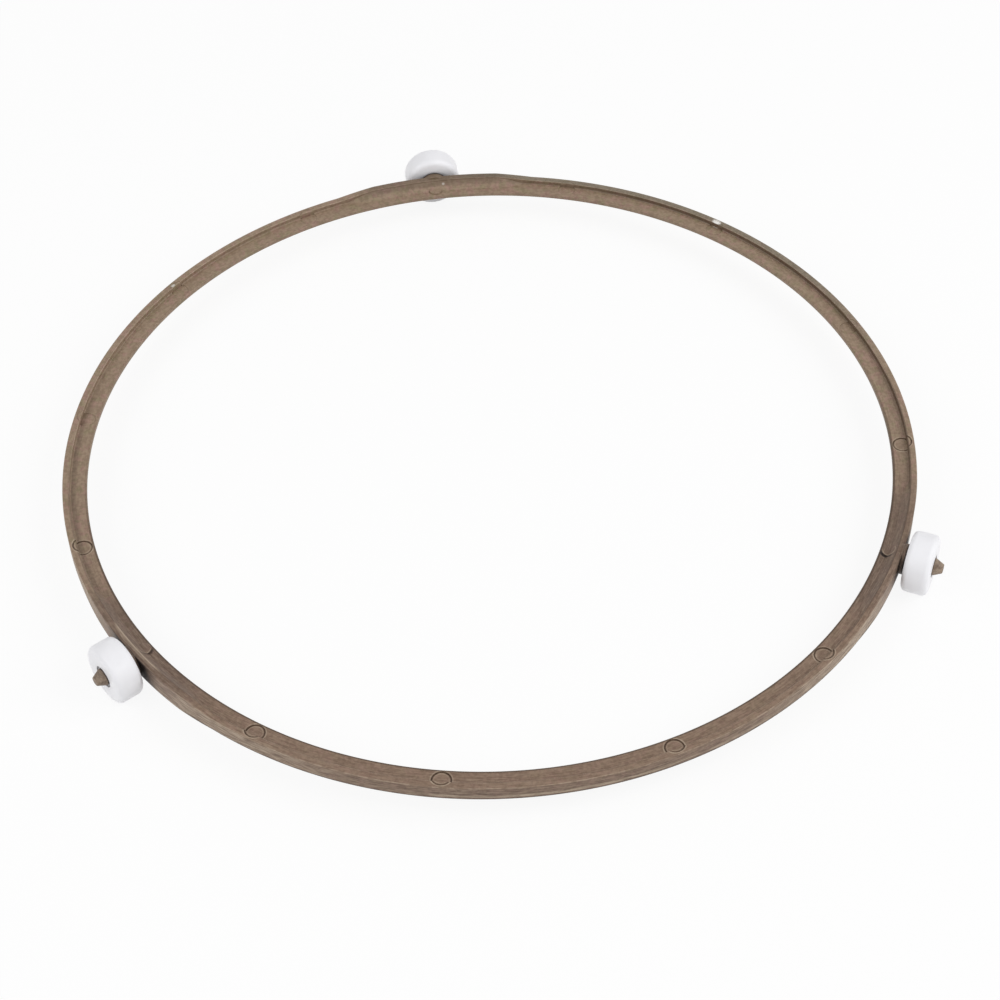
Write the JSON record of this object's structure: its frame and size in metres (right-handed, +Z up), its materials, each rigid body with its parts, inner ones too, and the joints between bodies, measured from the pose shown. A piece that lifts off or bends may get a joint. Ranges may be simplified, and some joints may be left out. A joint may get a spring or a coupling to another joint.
{
  "type": "microwave turntable roller ring",
  "caption": "Moulded plastic ring with outward stub axles, each carrying a free-turning white roller; it carries a microwave oven's glass plate as the plate turns.",
  "frame": {"origin": "on the ring's axis, at the level of the floor that the rollers stand on", "axes": "+Z up along the ring's axis; the rear axle points along +Y, the other two 120 degrees to each side of it"},
  "size_m": [0.23, 0.2407, 0.0162],
  "materials": {
    "ring_plastic": "matt taupe moulded plastic with light scuffs",
    "roller_plastic": "smooth white plastic, satin"
  },
  "bodies": {
    "ring": {"ring": "ring_plastic"},
    "wheel_left": {"wheel_left": "roller_plastic"},
    "wheel_right": {"wheel_right": "roller_plastic"},
    "wheel_rear": {"wheel_rear": "roller_plastic"}
  },
  "joints": [
    {"name": "left_wheel_turn", "type": "hinge", "parent": "ring", "child": "wheel_left", "pos_m": [-0.10371, -0.05987, 0.0081], "axis": [-0.866, -0.5, 0], "continuous": true},
    {"name": "right_wheel_turn", "type": "hinge", "parent": "ring", "child": "wheel_right", "pos_m": [0.10371, -0.05987, 0.0081], "axis": [0.866, -0.5, 0], "continuous": true},
    {"name": "rear_wheel_turn", "type": "hinge", "parent": "ring", "child": "wheel_rear", "pos_m": [0, 0.11975, 0.0081], "axis": [0, 1, 0], "continuous": true}
  ]
}
